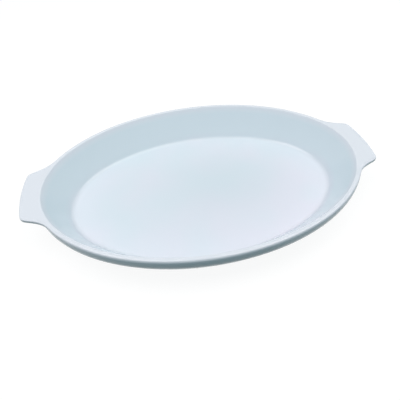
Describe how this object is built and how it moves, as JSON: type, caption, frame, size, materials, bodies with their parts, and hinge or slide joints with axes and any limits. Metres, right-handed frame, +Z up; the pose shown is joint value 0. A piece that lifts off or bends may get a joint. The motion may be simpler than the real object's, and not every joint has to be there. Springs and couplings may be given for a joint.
{
  "type": "gratin dish",
  "caption": "Shallow oval gratin dish in white glazed stoneware, with leaning walls, a slim flat rim and a level lug handle at each end, on a bare foot ring.",
  "frame": {"origin": "on the table under the middle of the dish, at the foot ring's lowest face", "axes": "+Z up; +X along the dish towards the right handle; +Y across it, away from the viewer of the picture"},
  "size_m": [0.32, 0.209, 0.035],
  "materials": {
    "bare_stoneware": "fired and left unglazed, fine and matt",
    "white_glaze": "cool white glaze with a soft satin gloss"
  },
  "bodies": {
    "root": {"clay_bowl": "bare_stoneware", "left_handle": "bare_stoneware", "right_handle": "bare_stoneware", "foot_ring": "bare_stoneware", "inside_glaze": "white_glaze", "outside_glaze": "white_glaze", "base_glaze": "white_glaze"}
  },
  "joints": []
}
